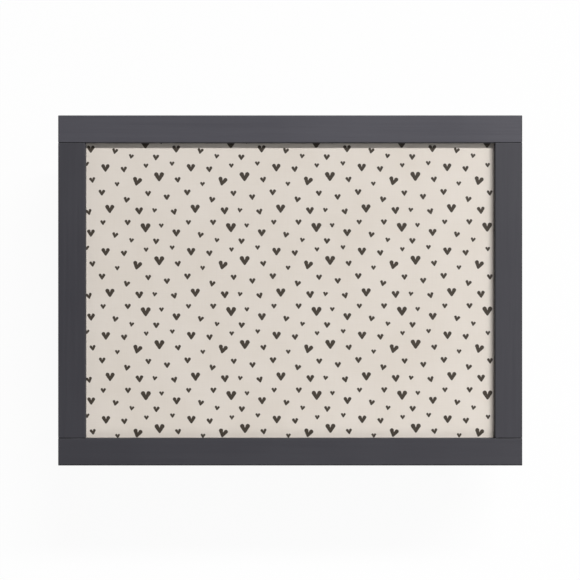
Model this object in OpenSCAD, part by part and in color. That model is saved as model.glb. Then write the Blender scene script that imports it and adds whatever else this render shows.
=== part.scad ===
// Lap desk: a shallow tray with a lift lid, on a bean-filled cushion.
// X runs left to right, Y from the sitter to the hinge side, Z up.
// The origin is at the middle of the cushion's underside.

/* [Desk] */
// Width over the lid and the box, left to right
desk_w = 440; // [400:5:480]
// Depth over the lid and the box, front to back
desk_d = 332; // [300:2:360]
// Radius of the eased arrises on every painted piece
arris_r = 0.8; // [0.4:0.1:1.2]

/* [Lid frame] */
// Face width of the rails and stiles
rail_w = 26; // [22:1:34]
// Thickness of the rails and stiles
lid_t = 18; // [18:0.5:22]
// Depth of the writing panel below the face of the frame
panel_recess = 5; // [4:0.5:5.5]
// How far the rebate behind the sight edge cuts into the frame
rebate_w = 7; // [5:0.5:9]
// Space between the closed lid and the box
lid_gap = 1; // [0.8:0.1:1.5]
// Opening angle at which the rear chamfers meet
open_angle = 95; // [85:1:100]

/* [Writing panel] */
// Thickness of the printed cloth glued over the board
cover_t = 0.8; // [0.6:0.1:1.2]
// Thickness of the panel board
board_t = 5; // [4:0.5:5.5]
// Thickness of the lining board that closes the lid from below
lining_t = 3; // [2:0.5:3]
// Height of the retaining beads
bead_h = 3.6; // [3:0.1:3.8]
// Width of the retaining beads
bead_w = 8; // [7:0.5:10]

/* [Box] */
// Height of the box walls
box_h = 40; // [36:1:60]
// Thickness of the box walls
wall_t = 15; // [14.5:0.5:18]
// Thickness of the plywood bottom
bottom_t = 4; // [3:0.5:6]
// Height of the bottom above the lower edge of the walls
bottom_up = 3; // [2.5:0.5:5]
// Depth of the groove that holds the bottom
groove_depth = 5; // [4:0.5:6]
// Thickness of the felt in the compartments
felt_t = 1; // [0.8:0.2:2]
// Radius of the finger scoop under the front edge of the lid
scoop_r = 9; // [7:0.5:10]
// Straight length of the finger scoop
scoop_w = 80; // [60:5:100]

/* [Dividers] */
// Thickness of both dividers
divider_t = 6; // [4:0.5:8]
// Height of both dividers above the bottom
divider_h = 27; // [18:1:28]
// Width of the pen compartment along the back
pen_w = 62; // [50:1:80]
// Length of the small compartment at the right of the pens
clip_w = 120; // [80:5:150]
// Depth of the dados that hold the dividers
dado_depth = 2.5; // [2:0.5:4]
// Radius of the thumb notch in the pen divider
notch_r = 30; // [25:1:40]
// Depth of the thumb notch
notch_depth = 10; // [6:1:12]

/* [Hinges] */
// Distance from the side of the desk to the middle of a hinge
hinge_inset = 90; // [70:5:110]
// Length of a hinge
hinge_l = 50; // [40:5:65]
// Knuckles on a hinge, an odd number
knuckle_count = 5; // [3:2:7]
// Radius of the knuckles
barrel_r = 2.6; // [2.4:0.1:3]
// Radius of the hinge pins
pin_r = 1.2; // [1:0.1:1.4]
// Thickness of the hinge leaves
leaf_t = 1.2; // [1:0.1:1.5]
// Width of a leaf from the hinge axis
leaf_w = 9; // [8.5:0.1:9.2]
// Distance of the hinge axis in front of the rear face
axis_inset = 4.5; // [4:0.1:5]
// Screws in a leaf
leaf_screws = 3; // [2:1:3]

/* [Fixings] */
// Diameter of the dowels in the lid frame
lid_dowel_d = 5; // [4:0.5:6]
// Diameter of the dowels in the box corners
box_dowel_d = 6; // [5:0.5:8]
// Length of every dowel
dowel_l = 30; // [24:1:36]
// Depth to which a dowel enters a box front or back
dowel_in_face = 9; // [7:0.5:11]
// Radius of the screw shanks
screw_r = 1.1; // [0.9:0.1:1.2]
// Radius of the screw heads
screw_head_r = 2.2; // [2:0.1:2.4]
// Length of the hinge screws
screw_l = 10; // [8:0.5:11]
// Radius of the magnets in the lid and the box
magnet_r = 4; // [3:0.5:5]
// Thickness of the magnets
magnet_t = 3; // [2:0.5:4]
// Distance of the magnets from the side of the desk
magnet_inset = 100; // [70:5:120]
// Distance of the rubber buffers from the side of the desk
buffer_inset = 30; // [20:5:50]
// Radius of the rubber buffers
buffer_r = 4; // [3:0.5:5]

/* [Cushion] */
// Height of the cushion
cushion_h = 45.7; // [40:0.1:60]
// Height of the seam above the flat of the underside
seam_h = 24; // [18:1:28]
// Inset of the cushion's seam from the outline of the desk
cushion_inset = 15; // [12:1:30]
// How far the sides draw in between the corners
side_pull = 4; // [0:0.5:8]
// Squareness of the corners seen from above
corner_power = 8; // [4:1:12]
// Width of the roll from the seam to the flat of the underside
roll_under = 58; // [40:1:75]
// Width of the roll from the seam to the flat of the top
roll_over = 30; // [20:1:36]
// Radius of the piping in the seam
piping_r = 2.2; // [1.6:0.1:3]
// Length of the hook-and-loop pads
pad_l = 60; // [40:5:80]
// Width of the hook-and-loop pads
pad_w = 25; // [20:1:30]

/* [Clearances] */
// Gap between a moving part or a soft part and its neighbour
soft_gap = 0.3; // [0.2:0.1:0.5]
// Gap round the panel and the boards in their rebates and grooves
board_gap = 0.4; // [0.2:0.1:0.6]
// Gap round screws, dowels and magnets in their holes
hole_gap = 0.05; // [0.03:0.01:0.1]
// Running gap round the hinge pins
pin_gap = 0.05; // [0.03:0.01:0.1]

/* [Hidden] */

paint = "#4b4b50";
plywood = "#d9bd8f";
beech = "#d8b888";
print_cloth = "#dcd3cb";
steel = "#b9b9b7";
felt_grey = "#8b8b8e";
rubber_black = "#2a2a2a";
cushion_cloth = "#77757a";

// How far a cutter runs past the face it opens
over = 1;
far = 1000;

// Heights
box_z = cushion_h + soft_gap;
box_top = box_z + box_h;
lid_z = box_top + lid_gap;
lid_top = lid_z + lid_t;
bottom_z = box_z + bottom_up;
floor_z = bottom_z + bottom_t;

// Plan sizes
sight_w = desk_w - 2 * rail_w;
sight_d = desk_d - 2 * rail_w;
pocket_w = sight_w + 2 * rebate_w;
pocket_d = sight_d + 2 * rebate_w;
inner_w = desk_w - 2 * wall_t;
inner_d = desk_d - 2 * wall_t;

// Heights of the layers in the lid, from the face down
cover_top = lid_top - panel_recess;
board_top = cover_top - cover_t;
lining_top = board_top - board_t;
bead_top = lining_top - lining_t;

// Hinge: the axis lies at the bottom of the groove between the rear chamfers
hinge_x = desk_w / 2 - hinge_inset;
axis_y = desk_d / 2 - axis_inset;
axis_z = box_top + lid_gap / 2;
chamfer_lead = 2;
chamfer_angle = open_angle / 2 - chamfer_lead;
knuckle_l = hinge_l / knuckle_count;
knuckle_gap = 0.3;
barrel_relief = 0.4;
pin_head_r = 2;
pin_head_t = 0.8;
leaf_screw_y = 5.7;
leaf_screw_pitch = hinge_l / leaf_screws;

// Dividers
pen_y = inner_d / 2 - pen_w - divider_t / 2;
clip_x = inner_w / 2 - clip_w - divider_t / 2;

// Mid-lines of the walls, and the places of the magnets and buffers along the front one
wall_mid_y = desk_d / 2 - wall_t / 2;
wall_mid_x = desk_w / 2 - wall_t / 2;
magnet_x = desk_w / 2 - magnet_inset;
buffer_x = desk_w / 2 - buffer_inset;

// Dowels: two to a joint in the lid, spread over the land beside the pocket,
// and three to a corner of the box, spread between its bottom and its top
land_w = rail_w - rebate_w;
land_mid_x = desk_w / 2 - land_w / 2;
lid_dowel_pitch = land_w / 2;
box_dowel_count = 3;
box_dowel_pitch = (box_top - floor_z) / box_dowel_count;
dowel_end_gap = 0.5;

// Cushion: half sizes of its seam, and the steps round it and over its rolls
seam_x = desk_w / 2 - cushion_inset;
seam_y = desk_d / 2 - cushion_inset;
flat_cut = 0.5;
side_steps = 24;
around = 4 * side_steps;
roll_count = 10;
roll_steps = [for (n = [0 : roll_count]) 180 * n / roll_count - 90];
corner_crowding = 0.45;
piping_sides = 8;

// Hook-and-loop pads, on the flat of the cushion's top
pad_margin = 5;
pad_x = seam_x - side_pull - roll_over - pad_l / 2 - pad_margin;
pad_y = seam_y - side_pull - roll_over - pad_w / 2 - pad_margin;
pad_t = (bottom_up + soft_gap) / 2;

// A rectangle with rounded corners, its low corner at the origin
module rounded_rect(size, r) {
    translate([r, 0]) square([size.x - 2 * r, size.y]);
    translate([0, r]) square([size.x, size.y - 2 * r]);
    for (x = [r, size.x - r], y = [r, size.y - r])
        translate([x, y]) circle(r, $fn = 24);
}

// A board from its low corner, with every arris eased
module eased_board(low, size) {
    translate(low) intersection() {
        linear_extrude(size.z) rounded_rect([size.x, size.y], arris_r);
        rotate([90, 0, 90]) linear_extrude(size.x) rounded_rect([size.y, size.z], arris_r);
        translate([0, size.y, 0]) rotate([90, 0, 0])
            linear_extrude(size.y) rounded_rect([size.x, size.z], arris_r);
    }
}

// A plain block centred on the Z axis, standing on z
module slab(w, d, z, h) {
    translate([-w / 2, -d / 2, z]) cube([w, d, h]);
}

// A round bar along X or Y, centred at its place
module bar_x(r, l) {
    rotate([0, 90, 0]) cylinder(r = r, h = l, center = true, $fn = 48);
}

module bar_y(r, l) {
    rotate([90, 0, 0]) cylinder(r = r, h = l, center = true, $fn = 48);
}

// Lid frame

// The rebated pocket behind the sight edge, cut from below
module panel_pocket() {
    slab(pocket_w, pocket_d, lid_z - over, lid_t - panel_recess + over);
}

// Places of the dowels that join the stiles to the rails
module at_lid_dowels() {
    for (sx = [-1, 1], sy = [-1, 1], n = [-0.5, 0.5])
        translate([sx * (land_mid_x + n * lid_dowel_pitch), sy * sight_d / 2, lid_z + lid_t / 2])
            children();
}

// A dowel with chamfered ends along Y
module dowel(d, l) {
    chamfer = d / 6;
    rotate([90, 0, 0]) rotate_extrude($fn = 48)
        polygon([[0, -l / 2], [d / 2 - chamfer, -l / 2], [d / 2, -l / 2 + chamfer],
                 [d / 2, l / 2 - chamfer], [d / 2 - chamfer, l / 2], [0, l / 2]]);
}

// The sloping cut along the rear lower edge of the lid
module lid_chamfer() {
    reach = axis_inset + over;
    rotate([90, 0, 90]) linear_extrude(desk_w + 2 * over, center = true)
        polygon([[axis_y, lid_z - over], [axis_y, lid_z],
                 [axis_y + reach, lid_z + reach * tan(chamfer_angle)],
                 [axis_y + reach, lid_z - over]]);
}

module rear_rail() {
    color(paint) difference() {
        eased_board([-desk_w / 2, sight_d / 2, lid_z], [desk_w, rail_w, lid_t]);
        panel_pocket();
        lid_chamfer();
        at_lid_dowels() bar_y(lid_dowel_d / 2 + hole_gap, dowel_l + 2 * dowel_end_gap);
        at_hinges() leaf_mortise();
    }
}

module front_rail() {
    color(paint) difference() {
        eased_board([-desk_w / 2, -desk_d / 2, lid_z], [desk_w, rail_w, lid_t]);
        panel_pocket();
        at_lid_dowels() bar_y(lid_dowel_d / 2 + hole_gap, dowel_l + 2 * dowel_end_gap);
        at_magnets(lid_z) cylinder(r = magnet_r + hole_gap, h = 2 * magnet_t, center = true, $fn = 48);
    }
}

module left_stile() {
    color(paint) difference() {
        eased_board([-desk_w / 2, -sight_d / 2, lid_z], [rail_w, sight_d, lid_t]);
        panel_pocket();
        at_lid_dowels() bar_y(lid_dowel_d / 2 + hole_gap, dowel_l + 2 * dowel_end_gap);
    }
}

module right_stile() {
    mirror([1, 0, 0]) left_stile();
}

module frame_dowels() {
    color(beech) at_lid_dowels() dowel(lid_dowel_d, dowel_l);
}

// Writing panel, seen in the sight opening

module panel_board() {
    inset = 2 * (board_gap + cover_t);
    color(plywood) slab(pocket_w - inset, pocket_d - inset, lining_top, board_t);
}

// The cloth lies over the board and down its edges
module panel_cover() {
    color(print_cloth) difference() {
        slab(pocket_w - 2 * board_gap, pocket_d - 2 * board_gap, lining_top, board_t + cover_t);
        slab(pocket_w - 2 * (board_gap + cover_t), pocket_d - 2 * (board_gap + cover_t),
             lining_top - over, board_t + over);
    }
}

module lid_lining_board() {
    color(plywood) slab(pocket_w - 2 * board_gap, pocket_d - 2 * board_gap, bead_top, lining_t);
}

// A quarter-round bead of length l along X, its wall side at y = 0 and its top at z = 0
module bead_length(l) {
    rotate([90, 0, 90]) linear_extrude(l, center = true) {
        translate([-(bead_w - bead_h), -bead_h]) square([bead_w - bead_h, bead_h]);
        intersection() {
            translate([-(bead_w - bead_h), 0]) circle(bead_h, $fn = 48);
            translate([-bead_w, -bead_h]) square([bead_h, bead_h]);
        }
    }
}

// One bead of the four, mitred, against the wall of the pocket at +Y
module mitred_bead(l, reach) {
    color(paint) intersection() {
        translate([0, reach, bead_top]) bead_length(l);
        translate([0, 0, bead_top - bead_h - over]) linear_extrude(bead_h + 2 * over)
            polygon([[-l / 2, reach], [l / 2, reach],
                     [l / 2 - bead_w, reach - bead_w], [-l / 2 + bead_w, reach - bead_w]]);
    }
}

module rear_bead() {
    mitred_bead(pocket_w, pocket_d / 2);
}

module front_bead() {
    rotate([0, 0, 180]) mitred_bead(pocket_w, pocket_d / 2);
}

module left_bead() {
    rotate([0, 0, 90]) mitred_bead(pocket_d, pocket_w / 2);
}

module right_bead() {
    rotate([0, 0, -90]) mitred_bead(pocket_d, pocket_w / 2);
}

// Hinges. A leaf is drawn with the hinge axis on X through the origin, and the plate above it.

module at_hinges() {
    for (side = [-1, 1])
        translate([side * hinge_x, axis_y, axis_z]) children();
}

// Middle of knuckle n along the axis
function knuckle_at(n) = -hinge_l / 2 + (n + 0.5) * knuckle_l;

module at_leaf_screws() {
    for (n = [0 : leaf_screws - 1])
        translate([(n - (leaf_screws - 1) / 2) * leaf_screw_pitch, -leaf_screw_y, lid_gap / 2])
            children();
}

// A countersunk screw with its head's flat at z = 0 and its point upwards
module screw_form(gap) {
    cylinder(r1 = screw_head_r + gap, r2 = screw_r + gap, h = leaf_t, $fn = 48);
    translate([0, 0, leaf_t]) cylinder(r = screw_r + gap, h = screw_l - leaf_t + gap, $fn = 48);
}

module leaf_screw() {
    slot_w = 0.5;
    slot_l = 1.5 * screw_head_r;
    slot_depth = 0.5;
    difference() {
        screw_form(0);
        cube([slot_w, slot_l, 2 * slot_depth], center = true);
        cube([slot_l, slot_w, 2 * slot_depth], center = true);
    }
}

// What a leaf, its knuckles and its screws need in the wood above the axis
module leaf_mortise() {
    mortise_gap = 0.2;
    translate([-hinge_l / 2 - mortise_gap, -leaf_w - mortise_gap, -over])
        cube([hinge_l + 2 * mortise_gap, leaf_w + mortise_gap, over + lid_gap / 2 + leaf_t]);
    bar_x(barrel_r + barrel_relief, hinge_l + 2 * (pin_head_t + barrel_relief));
    at_leaf_screws() screw_form(hole_gap);
}

// own is 0 for the leaf that has the end knuckles and 1 for the other
module leaf(own) {
    color(steel) difference() {
        union() {
            translate([-hinge_l / 2, -leaf_w, lid_gap / 2]) cube([hinge_l, leaf_w, leaf_t]);
            for (n = [own : 2 : knuckle_count - 1])
                translate([knuckle_at(n), 0, 0]) bar_x(barrel_r, knuckle_l - knuckle_gap);
        }
        for (n = [1 - own : 2 : knuckle_count - 1])
            translate([knuckle_at(n), 0, 0])
                cube([knuckle_l + knuckle_gap, 2 * (barrel_r + barrel_relief), far], center = true);
        bar_x(pin_r + pin_gap, hinge_l + 2 * over);
        at_leaf_screws() screw_form(hole_gap);
    }
}

module lid_leaf(side) {
    translate([side * hinge_x, axis_y, axis_z]) leaf(1);
}

module box_leaf(side) {
    translate([side * hinge_x, axis_y, axis_z]) mirror([0, 0, 1]) leaf(0);
}

module hinge_pin(side) {
    color(steel) translate([side * hinge_x, axis_y, axis_z]) {
        bar_x(pin_r, hinge_l + pin_head_t);
        for (end = [-1, 1])
            translate([end * (hinge_l + pin_head_t) / 2, 0, 0]) bar_x(pin_head_r, pin_head_t);
    }
}

module left_lid_leaf() {
    lid_leaf(-1);
}

module right_lid_leaf() {
    lid_leaf(1);
}

module left_box_leaf() {
    box_leaf(-1);
}

module right_box_leaf() {
    box_leaf(1);
}

module left_hinge_pin() {
    hinge_pin(-1);
}

module right_hinge_pin() {
    hinge_pin(1);
}

module lid_leaf_screws() {
    color(steel) at_hinges() at_leaf_screws() leaf_screw();
}

module box_leaf_screws() {
    color(steel) at_hinges() mirror([0, 0, 1]) at_leaf_screws() leaf_screw();
}

// Magnets and buffers

module at_magnets(z) {
    for (side = [-1, 1])
        translate([side * magnet_x, -wall_mid_y, z]) children();
}

module lid_magnets() {
    color(steel) at_magnets(lid_z) cylinder(r = magnet_r, h = magnet_t, $fn = 48);
}

module box_magnets() {
    color(steel) at_magnets(box_top - magnet_t) cylinder(r = magnet_r, h = magnet_t, $fn = 48);
}

module lid_buffers() {
    buffer_t = lid_gap - 0.1;
    color(rubber_black) for (side = [-1, 1])
        translate([side * buffer_x, -wall_mid_y, box_top]) cylinder(r = buffer_r, h = buffer_t, $fn = 48);
}

// Box

// The space of the bottom board and its groove
module bottom_form(gap) {
    slab(inner_w + 2 * groove_depth + 2 * gap, inner_d + 2 * groove_depth + 2 * gap, bottom_z, bottom_t);
}

// Places of the dowels in the box corners
module at_box_dowels() {
    shift = (dowel_l - 2 * dowel_in_face) / 2;
    for (sx = [-1, 1], sy = [-1, 1], n = [0 : box_dowel_count - 1])
        translate([sx * wall_mid_x, sy * (inner_d / 2 - shift), floor_z + (n + 0.5) * box_dowel_pitch])
            children();
}

module box_dowel_holes() {
    at_box_dowels() bar_y(box_dowel_d / 2 + hole_gap, dowel_l + 2 * dowel_end_gap);
}

// The sloping cut along the rear upper edge of the box
module box_chamfer() {
    reach = axis_inset + over;
    rotate([90, 0, 90]) linear_extrude(desk_w + 2 * over, center = true)
        polygon([[axis_y, box_top + over], [axis_y, box_top],
                 [axis_y + reach, box_top - reach * tan(chamfer_angle)],
                 [axis_y + reach, box_top + over]]);
}

module box_front() {
    color(paint) difference() {
        eased_board([-desk_w / 2, -desk_d / 2, box_z], [desk_w, wall_t, box_h]);
        bottom_form(board_gap);
        box_dowel_holes();
        at_magnets(box_top) cylinder(r = magnet_r + hole_gap, h = 2 * magnet_t, center = true, $fn = 48);
        translate([0, -desk_d / 2, box_top]) {
            bar_x(scoop_r, scoop_w);
            for (end = [-1, 1]) translate([end * scoop_w / 2, 0, 0]) sphere(scoop_r, $fn = 48);
        }
    }
}

module box_back() {
    color(paint) difference() {
        eased_board([-desk_w / 2, inner_d / 2, box_z], [desk_w, wall_t, box_h]);
        bottom_form(board_gap);
        box_dowel_holes();
        box_chamfer();
        at_hinges() mirror([0, 0, 1]) leaf_mortise();
        clip_divider_form(board_gap / 2);
    }
}

module box_left_side() {
    color(paint) difference() {
        eased_board([-desk_w / 2, -inner_d / 2, box_z], [wall_t, inner_d, box_h]);
        bottom_form(board_gap);
        box_dowel_holes();
        pen_divider_form(board_gap / 2);
    }
}

module box_right_side() {
    mirror([1, 0, 0]) box_left_side();
}

module box_dowels() {
    color(beech) at_box_dowels() dowel(box_dowel_d, dowel_l);
}

module box_bottom() {
    color(plywood) bottom_form(0);
}

// Dividers: each form with a gap is the dado that its divider stands in

module pen_divider_form(gap) {
    l = inner_w + 2 * dado_depth + 2 * gap;
    t = divider_t + 2 * gap;
    translate([-l / 2, pen_y - t / 2, floor_z]) cube([l, t, divider_h + gap]);
}

module clip_divider_form(gap) {
    low_y = pen_y + divider_t / 2 - dado_depth - gap;
    high_y = inner_d / 2 + dado_depth + gap;
    t = divider_t + 2 * gap;
    translate([clip_x - t / 2, low_y, floor_z]) cube([t, high_y - low_y, divider_h + gap]);
}

module pen_divider() {
    color(paint) difference() {
        pen_divider_form(0);
        clip_divider_form(board_gap / 2);
        translate([(clip_x - inner_w / 2) / 2, pen_y, floor_z + divider_h + notch_r - notch_depth])
            rotate([90, 0, 0]) cylinder(r = notch_r, h = 2 * divider_t, center = true, $fn = 96);
    }
}

module clip_divider() {
    color(paint) clip_divider_form(0);
}

// Felt in the three compartments, cut a little smaller than each
module felt_piece(low_x, high_x, low_y, high_y) {
    translate([low_x + board_gap, low_y + board_gap, floor_z])
        cube([high_x - low_x - 2 * board_gap, high_y - low_y - 2 * board_gap, felt_t]);
}

module felt_linings() {
    pen_low = pen_y + divider_t / 2;
    color(felt_grey) {
        felt_piece(-inner_w / 2, inner_w / 2, -inner_d / 2, pen_y - divider_t / 2);
        felt_piece(-inner_w / 2, clip_x - divider_t / 2, pen_low, inner_d / 2);
        felt_piece(clip_x + divider_t / 2, inner_w / 2, pen_low, inner_d / 2);
    }
}

// Cushion and its fastening

module at_pads(z) {
    for (sx = [-1, 1], sy = [-1, 1])
        translate([sx * pad_x, sy * pad_y, z]) children();
}

module pad() {
    translate([-pad_l / 2, -pad_w / 2, 0]) cube([pad_l, pad_w, pad_t]);
}

module hook_pads() {
    color(rubber_black) at_pads(bottom_z - pad_t) pad();
}

module loop_pads() {
    color(rubber_black) at_pads(cushion_h) pad();
}

// Angle of step k round the seam, with the steps crowded into the corners
function seam_angle(k) =
    let (quarter = floor(k / side_steps),
         s = 2 * (k - quarter * side_steps) / side_steps - 1)
    90 * quarter + 45 + 45 * (corner_crowding * s + (1 - corner_crowding) * pow(s, 3));

// A point of the cushion's outline at angle t, with both half sizes less an inset
function outline(t, inset) =
    let (power = corner_power,
         reach = pow(pow(abs(cos(t)), power) + pow(abs(sin(t)), power), -1 / power),
         pull = side_pull * pow(cos(2 * t), 2))
    [(seam_x - inset - pull) * reach * cos(t), (seam_y - inset - pull) * reach * sin(t)];

// The ring of the cushion at roll step u: -90 is the underside, 0 the seam, 90 the top
function cushion_ring(u) =
    let (inset = (u < 0 ? roll_under : roll_over) * (1 - cos(u)),
         z = seam_h + (u < 0 ? seam_h + flat_cut : cushion_h - seam_h) * sin(u))
    [for (k = [0 : around - 1]) let (p = outline(seam_angle(k), inset)) [p.x, p.y, max(0, z)]];

module cushion() {
    rings = len(roll_steps);
    below = rings * around;
    above = below + 1;
    points = concat([for (u = roll_steps) each cushion_ring(u)], [[0, 0, 0], [0, 0, cushion_h]]);
    sides = [for (r = [0 : rings - 2], k = [0 : around - 1])
        let (a = r * around + k, b = r * around + (k + 1) % around)
        each [[a, a + around, b + around], [a, b + around, b]]];
    ends = [for (k = [0 : around - 1])
        let (next = (k + 1) % around, top = (rings - 1) * around)
        each [[below, k, next], [above, top + next, top + k]]];
    color(cushion_cloth) polyhedron(points, concat(sides, ends));
}

// A point on the piping beside the seam: t along the seam, a round the tube
function piping_point(t, a) =
    let (along = outline(t + 0.5, 0) - outline(t - 0.5, 0),
         out = [along.y, -along.x] / norm(along),
         p = outline(t, 0) + (soft_gap + piping_r * (1 + cos(a))) * out)
    [p.x, p.y, seam_h + piping_r * sin(a)];

module cushion_piping() {
    points = [for (k = [0 : around - 1], n = [0 : piping_sides - 1])
        piping_point(seam_angle(k), 360 * n / piping_sides)];
    faces = [for (k = [0 : around - 1], n = [0 : piping_sides - 1])
        let (next_k = (k + 1) % around, next_n = (n + 1) % piping_sides,
             a = k * piping_sides + n, b = k * piping_sides + next_n,
             c = next_k * piping_sides + next_n, d = next_k * piping_sides + n)
        each [[a, b, c], [a, c, d]]];
    color(paint) polyhedron(points, faces);
}

rear_rail();
front_rail();
left_stile();
right_stile();
frame_dowels();
panel_board();
panel_cover();
lid_lining_board();
rear_bead();
front_bead();
left_bead();
right_bead();
left_lid_leaf();
right_lid_leaf();
lid_leaf_screws();
lid_magnets();
box_front();
box_back();
box_left_side();
box_right_side();
box_dowels();
box_bottom();
pen_divider();
clip_divider();
felt_linings();
left_box_leaf();
right_box_leaf();
left_hinge_pin();
right_hinge_pin();
box_leaf_screws();
box_magnets();
lid_buffers();
hook_pads();
loop_pads();
cushion();
cushion_piping();
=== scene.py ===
# %% [markdown]
# # A lap desk with a lift lid
# A framed writing panel hangs on two hinges over a shallow box, and the box sits on a cushion.
# The wooden frame, the box and the hinges come from the CAD model, so this lesson gives them their
# finishes. The soft parts, which are cloth, felt and a filled cushion, are modelled here.

import math

import bmesh
import bpy
from mathutils import Matrix, Vector, noise


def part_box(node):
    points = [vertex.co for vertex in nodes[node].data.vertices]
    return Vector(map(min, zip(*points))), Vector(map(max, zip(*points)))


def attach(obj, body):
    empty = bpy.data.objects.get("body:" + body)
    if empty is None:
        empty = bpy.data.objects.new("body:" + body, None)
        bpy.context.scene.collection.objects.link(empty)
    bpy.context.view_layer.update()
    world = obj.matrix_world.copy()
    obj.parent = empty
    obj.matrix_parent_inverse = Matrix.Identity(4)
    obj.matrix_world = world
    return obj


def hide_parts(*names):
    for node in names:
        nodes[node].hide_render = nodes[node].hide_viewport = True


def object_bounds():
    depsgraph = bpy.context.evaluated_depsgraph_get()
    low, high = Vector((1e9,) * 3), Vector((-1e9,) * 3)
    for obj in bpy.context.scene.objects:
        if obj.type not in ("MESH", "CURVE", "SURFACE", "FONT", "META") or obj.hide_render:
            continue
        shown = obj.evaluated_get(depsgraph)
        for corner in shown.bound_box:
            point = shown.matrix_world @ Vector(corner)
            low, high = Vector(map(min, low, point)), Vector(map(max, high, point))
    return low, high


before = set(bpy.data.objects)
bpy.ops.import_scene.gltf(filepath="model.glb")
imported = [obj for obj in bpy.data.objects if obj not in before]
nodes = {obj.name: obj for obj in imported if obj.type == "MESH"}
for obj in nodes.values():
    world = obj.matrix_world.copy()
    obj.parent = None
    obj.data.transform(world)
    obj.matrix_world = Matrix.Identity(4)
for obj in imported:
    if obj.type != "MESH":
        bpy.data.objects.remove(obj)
cad_low, cad_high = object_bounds()
lid_top = cad_high[2]
print(f"{len(nodes)} CAD nodes; the lid's face is {lid_top * 1000:.1f} mm up")

# %% [markdown]
# ## The camera
# The photograph looks straight down on the closed lid, and its frame is as wide as 550 mm at the
# lid's face. A camera with no turn looks down -Z with +Y at the top of the picture. Its distance
# shows in the inner walls of the frame: from about a metre they are one pixel wide.

# %% Camera over the lid
camera_data = bpy.data.cameras.new("overhead_camera")
camera = bpy.data.objects.new("overhead_camera", camera_data)
bpy.context.scene.collection.objects.link(camera)
bpy.context.scene.camera = camera

view_width = 0.5496
camera_height = 1.15
camera_data.sensor_width = 36
camera_data.lens = 36 * camera_height / view_width
camera.location = (-0.0002, 0.00043, lid_top + camera_height)
print(f"lens {camera_data.lens:.1f} mm")

# %% [markdown]
# ## Floor, world and lamps
# The object was photographed on white. For camera and glossy rays the floor is mostly a white
# that gives its own light, with a share of true shading left in it, so that the shadow stays as a
# faint one. All other rays see a plain pale floor.

# %% Pale floor
def link(socket_out, socket_in, material_tree):
    material_tree.links.new(socket_out, socket_in)


def seen_directly(tree):
    """1 for a ray that shows the background itself: a camera, glossy or transmission ray."""
    path = tree.nodes.new("ShaderNodeLightPath")
    total = path.outputs["Is Camera Ray"]
    for name in ("Is Glossy Ray", "Is Transmission Ray"):
        most = tree.nodes.new("ShaderNodeMath")
        most.operation = "MAXIMUM"
        link(total, most.inputs[0], tree)
        link(path.outputs[name], most.inputs[1], tree)
        total = most.outputs[0]
    return total


floor_half = 12
floor_drop = 0.0002
own_light = 0.95

floor_mesh = bpy.data.meshes.new("studio_floor")
shape = bmesh.new()
bmesh.ops.create_grid(shape, x_segments=1, y_segments=1, size=floor_half)
bmesh.ops.translate(shape, verts=shape.verts, vec=(0, 0, -floor_drop))
shape.to_mesh(floor_mesh)
shape.free()
studio_floor = bpy.data.objects.new("studio_floor", floor_mesh)
bpy.context.scene.collection.objects.link(studio_floor)

floor_white = bpy.data.materials.new("floor_white")
floor_white.use_nodes = True
tree = floor_white.node_tree
tree.nodes.clear()
paper = tree.nodes.new("ShaderNodeBsdfDiffuse")
paper.inputs["Color"].default_value = (0.85, 0.85, 0.85, 1)
glow = tree.nodes.new("ShaderNodeEmission")
glow.inputs["Strength"].default_value = 1.0
glow_share = tree.nodes.new("ShaderNodeMath")
glow_share.operation = "MULTIPLY"
glow_share.inputs[1].default_value = own_light
link(seen_directly(tree), glow_share.inputs[0], tree)
both = tree.nodes.new("ShaderNodeMixShader")
link(glow_share.outputs[0], both.inputs[0], tree)
link(paper.outputs[0], both.inputs[1], tree)
link(glow.outputs[0], both.inputs[2], tree)
surface = tree.nodes.new("ShaderNodeOutputMaterial")
link(both.outputs[0], surface.inputs["Surface"], tree)
floor_mesh.materials.append(floor_white)
print("floor laid")

# %% [markdown]
# The world is white where it is seen, and a soft grey light for everything else. In reflections it
# has a dark ceiling, which leans a little to the left, so the satin paint keeps its depth and is
# palest at the right, as in the photograph.

# %% World
world = bpy.data.worlds.new("studio_world")
bpy.context.scene.world = world
world.use_nodes = True
tree = world.node_tree
tree.nodes.clear()
world_share = 0.08
ceiling = Vector((-0.6, -0.1, 0.79)).normalized()

path = tree.nodes.new("ShaderNodeLightPath")
where = tree.nodes.new("ShaderNodeTexCoord")
towards = tree.nodes.new("ShaderNodeVectorMath")
towards.operation = "DOT_PRODUCT"
towards.inputs[1].default_value = ceiling
link(where.outputs["Generated"], towards.inputs[0], tree)
rise = tree.nodes.new("ShaderNodeMapRange")
rise.inputs["From Min"].default_value = 0.45
rise.inputs["From Max"].default_value = 0.92
rise.inputs["To Min"].default_value = 1.0
rise.inputs["To Max"].default_value = 0.0
link(towards.outputs["Value"], rise.inputs["Value"], tree)

glossy_or_clear = tree.nodes.new("ShaderNodeMath")
glossy_or_clear.operation = "MAXIMUM"
link(path.outputs["Is Glossy Ray"], glossy_or_clear.inputs[0], tree)
link(path.outputs["Is Transmission Ray"], glossy_or_clear.inputs[1], tree)
reflected = tree.nodes.new("ShaderNodeMix")
reflected.inputs["A"].default_value = world_share
link(glossy_or_clear.outputs[0], reflected.inputs["Factor"], tree)
link(rise.outputs[0], reflected.inputs["B"], tree)
viewed = tree.nodes.new("ShaderNodeMix")
viewed.inputs["B"].default_value = 1.0
link(path.outputs["Is Camera Ray"], viewed.inputs["Factor"], tree)
link(reflected.outputs[0], viewed.inputs["A"], tree)
sky = tree.nodes.new("ShaderNodeBackground")
sky.inputs["Color"].default_value = (1, 1, 1, 1)
link(viewed.outputs[0], sky.inputs["Strength"], tree)
out = tree.nodes.new("ShaderNodeOutputWorld")
link(sky.outputs[0], out.inputs["Surface"], tree)
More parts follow.
